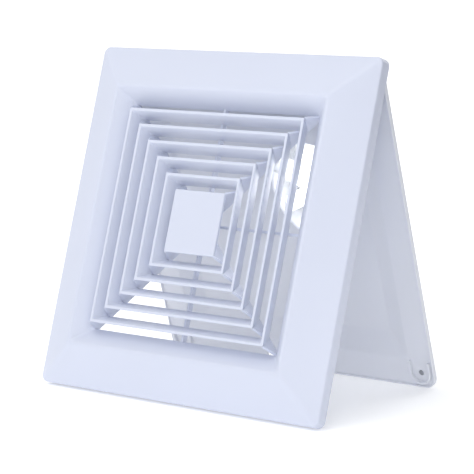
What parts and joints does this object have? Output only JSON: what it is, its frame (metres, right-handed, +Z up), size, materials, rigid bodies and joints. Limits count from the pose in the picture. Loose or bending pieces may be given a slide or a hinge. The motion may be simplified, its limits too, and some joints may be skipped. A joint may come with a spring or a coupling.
{
  "type": "bathroom extractor fan",
  "caption": "Square extractor fan with a hinged louvred cover, a recessed back plate, an axial impeller on a small motor, backdraught flaps and a round duct spigot.",
  "frame": {"origin": "middle of the object's box, on the floor that the two open panels stand on", "axes": "+X along the top hinge, to the right seen from the louvred side; +Y from the louvred cover to the back plate; +Z up"},
  "size_m": [0.3, 0.2016, 0.2875],
  "materials": {
    "cover_plastic": "white moulded plastic, satin gloss",
    "plate_plastic": "white moulded plastic, satin gloss",
    "fan_plastic": "white moulded plastic, matt",
    "impeller_plastic": "white moulded plastic, smooth",
    "flap_plastic": "thin translucent white plastic",
    "foam": "closed-cell foam",
    "grommet_rubber": "soft black rubber",
    "steel": "zinc-plated steel",
    "motor_steel": "pressed zinc-plated steel",
    "core_steel": "stacked laminations",
    "copper": "enamelled copper wire",
    "brass": "turned brass",
    "capacitor_case": "drawn aluminium can",
    "block_plastic": "natural nylon",
    "lead_sheath": "white flexible sheath"
  },
  "bodies": {
    "plate": {"back_plate": "plate_plastic", "hinge_pins": "steel", "duct_spigot": "fan_plastic", "spigot_seal": "foam", "spigot_screws": "steel", "motor_bracket": "fan_plastic", "motor_screws": "steel", "motor_front_shell": "motor_steel", "motor_rear_shell": "motor_steel", "front_bearing": "steel", "rear_bearing": "steel", "stator_core": "core_steel", "stator_winding": "copper", "flap_pin": "steel", "flap_spring": "steel", "terminal_box": "fan_plastic", "terminal_box_screws": "steel", "terminal_lid": "fan_plastic", "terminal_lid_screws": "steel", "terminal_block": "block_plastic", "terminal_screws": "brass", "cable_grommet": "grommet_rubber", "cable_clamp": "fan_plastic", "cable_clamp_screws": "steel", "run_capacitor": "capacitor_case", "motor_lead": "lead_sheath"},
    "cover": {"cover_frame": "cover_plastic", "louvre_core": "cover_plastic"},
    "rotor": {"impeller": "impeller_plastic", "impeller_nut": "brass", "motor_shaft": "steel", "rotor_core": "core_steel"},
    "left_flap": {"flap_left": "flap_plastic"},
    "right_flap": {"flap_right": "flap_plastic"}
  },
  "joints": [
    {"name": "cover_hinge", "type": "hinge", "parent": "plate", "child": "cover", "pos_m": [0, 0.00116, 0.27591], "axis": [-1, 0, 0], "range_deg": [-34, 36]},
    {"name": "impeller_spin", "type": "hinge", "parent": "plate", "child": "rotor", "pos_m": [0.046, 0.05648, 0.17081], "axis": [0, -0.9643, -0.2649], "continuous": true},
    {"name": "left_flap_swing", "type": "hinge", "parent": "plate", "child": "left_flap", "pos_m": [0.046, 0.08069, 0.17746], "axis": [0, 0.2649, -0.9643], "range_deg": [0, 75], "stiffness_Nm_per_rad": 0.003, "springref_deg": -17.19},
    {"name": "right_flap_swing", "type": "hinge", "parent": "plate", "child": "right_flap", "pos_m": [0.046, 0.08069, 0.17746], "axis": [0, -0.2649, 0.9643], "range_deg": [0, 75], "stiffness_Nm_per_rad": 0.003, "springref_deg": -17.19}
  ]
}
